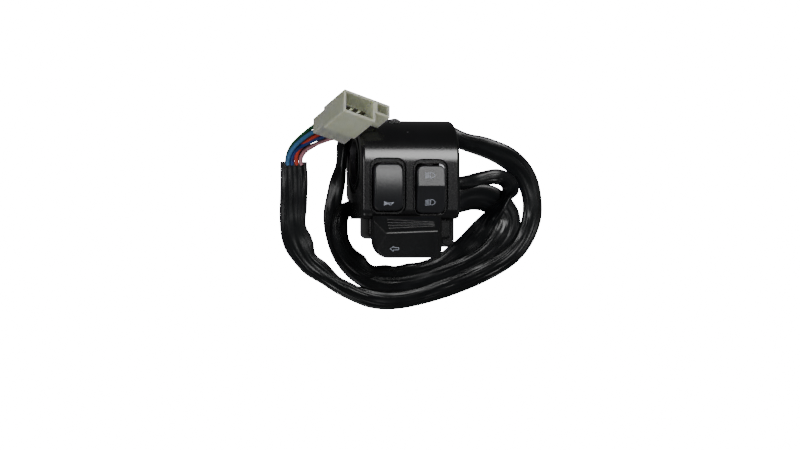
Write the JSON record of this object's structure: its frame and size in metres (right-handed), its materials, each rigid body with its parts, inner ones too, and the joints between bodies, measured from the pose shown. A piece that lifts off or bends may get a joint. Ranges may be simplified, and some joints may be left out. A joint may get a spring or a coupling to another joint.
{
  "type": "handlebar switch cluster",
  "caption": "Handlebar switch cluster: clamp-on casing with a horn button, a dimmer rocker, a turn paddle and a coiled sleeved lead to a plug.",
  "frame": {"origin": "centre of the handlebar bore, halfway along the casing", "axes": "+X along the bar towards its middle, +Y across the face away from the turn paddle, +Z out of the button face"},
  "size_m": [0.1306, 0.1073, 0.0542],
  "materials": {
    "casing_paint": "satin black paint over cast alloy",
    "zinc_steel": "zinc plated",
    "button_plastic": "fine grained dark plastic",
    "inner_plastic": "moulded",
    "contact_brass": "stamped",
    "spring_steel": "drawn wire",
    "pin_steel": "ground",
    "grommet_rubber": "matt",
    "sleeve_vinyl": "glossy soft vinyl",
    "plug_nylon": "milky nylon",
    "wire_light_blue": "wire insulation",
    "wire_dark_blue": "wire insulation",
    "wire_red": "wire insulation",
    "wire_orange": "wire insulation",
    "wire_rose": "wire insulation",
    "wire_maroon": "wire insulation",
    "wire_black": "wire insulation",
    "wire_green": "wire insulation"
  },
  "bodies": {
    "casing": {"front_casing": "casing_paint", "rear_casing": "casing_paint", "casing_screws": "zinc_steel", "switch_screws": "zinc_steel", "horn_cup": "inner_plastic", "dimmer_tray": "inner_plastic", "turn_body": "inner_plastic", "horn_blades": "contact_brass", "dimmer_blades": "contact_brass", "turn_blades": "contact_brass", "horn_spring": "spring_steel", "turn_spring": "spring_steel", "dimmer_pivot_pin": "pin_steel", "turn_pivot_pin": "pin_steel", "cable_grommet": "grommet_rubber", "cable_sleeve": "sleeve_vinyl", "plug_housing": "plug_nylon", "plug_terminals": "contact_brass", "wire_light_blue": "wire_light_blue", "wire_dark_blue": "wire_dark_blue", "wire_red": "wire_red", "wire_orange": "wire_orange", "wire_rose": "wire_rose", "wire_maroon": "wire_maroon", "wire_black": "wire_black", "wire_green": "wire_green"},
    "horn": {"horn_button": "button_plastic", "horn_plunger": "inner_plastic", "horn_contact_bridge": "contact_brass"},
    "dimmer": {"dimmer_rocker": "button_plastic", "dimmer_detent_ball": "pin_steel", "dimmer_detent_spring": "spring_steel"},
    "dimmer_carriage": {"dimmer_slider": "inner_plastic", "dimmer_contact": "contact_brass"},
    "turn": {"turn_paddle": "button_plastic"},
    "turn_carriage": {"turn_slider": "inner_plastic", "turn_contact": "contact_brass"}
  },
  "joints": [
    {"name": "horn_press", "type": "slide", "parent": "casing", "child": "horn", "axis": [0, 0, -1], "range_m": [0, 0.0025], "stiffness_N_per_m": 300, "springref_m": -0.001, "deforming": ["horn_spring"]},
    {"name": "dimmer_rock", "type": "hinge", "parent": "casing", "child": "dimmer", "pos_m": [0.0096, -0.0132, 0.0162], "axis": [1, 0, 0], "range_deg": [-8, 0]},
    {"name": "dimmer_slide", "type": "slide", "parent": "casing", "child": "dimmer_carriage", "axis": [0, 1, 0], "range_m": [-0.00114, 0]},
    {"name": "turn_press", "type": "hinge", "parent": "casing", "child": "turn", "pos_m": [-0.0025, -0.031, 0.018], "axis": [1, 0, 0], "range_deg": [0, 8], "stiffness_Nm_per_rad": 0.15, "springref_deg": -1.15, "deforming": ["turn_spring"]},
    {"name": "turn_slide", "type": "slide", "parent": "casing", "child": "turn_carriage", "axis": [0, 1, 0], "range_m": [0, 0.0012]}
  ],
  "couplings": [
    {"joint": "dimmer_slide", "follows": "dimmer_rock", "m_per_rad": 0.008},
    {"joint": "turn_slide", "follows": "turn_press", "m_per_rad": 0.00815}
  ]
}
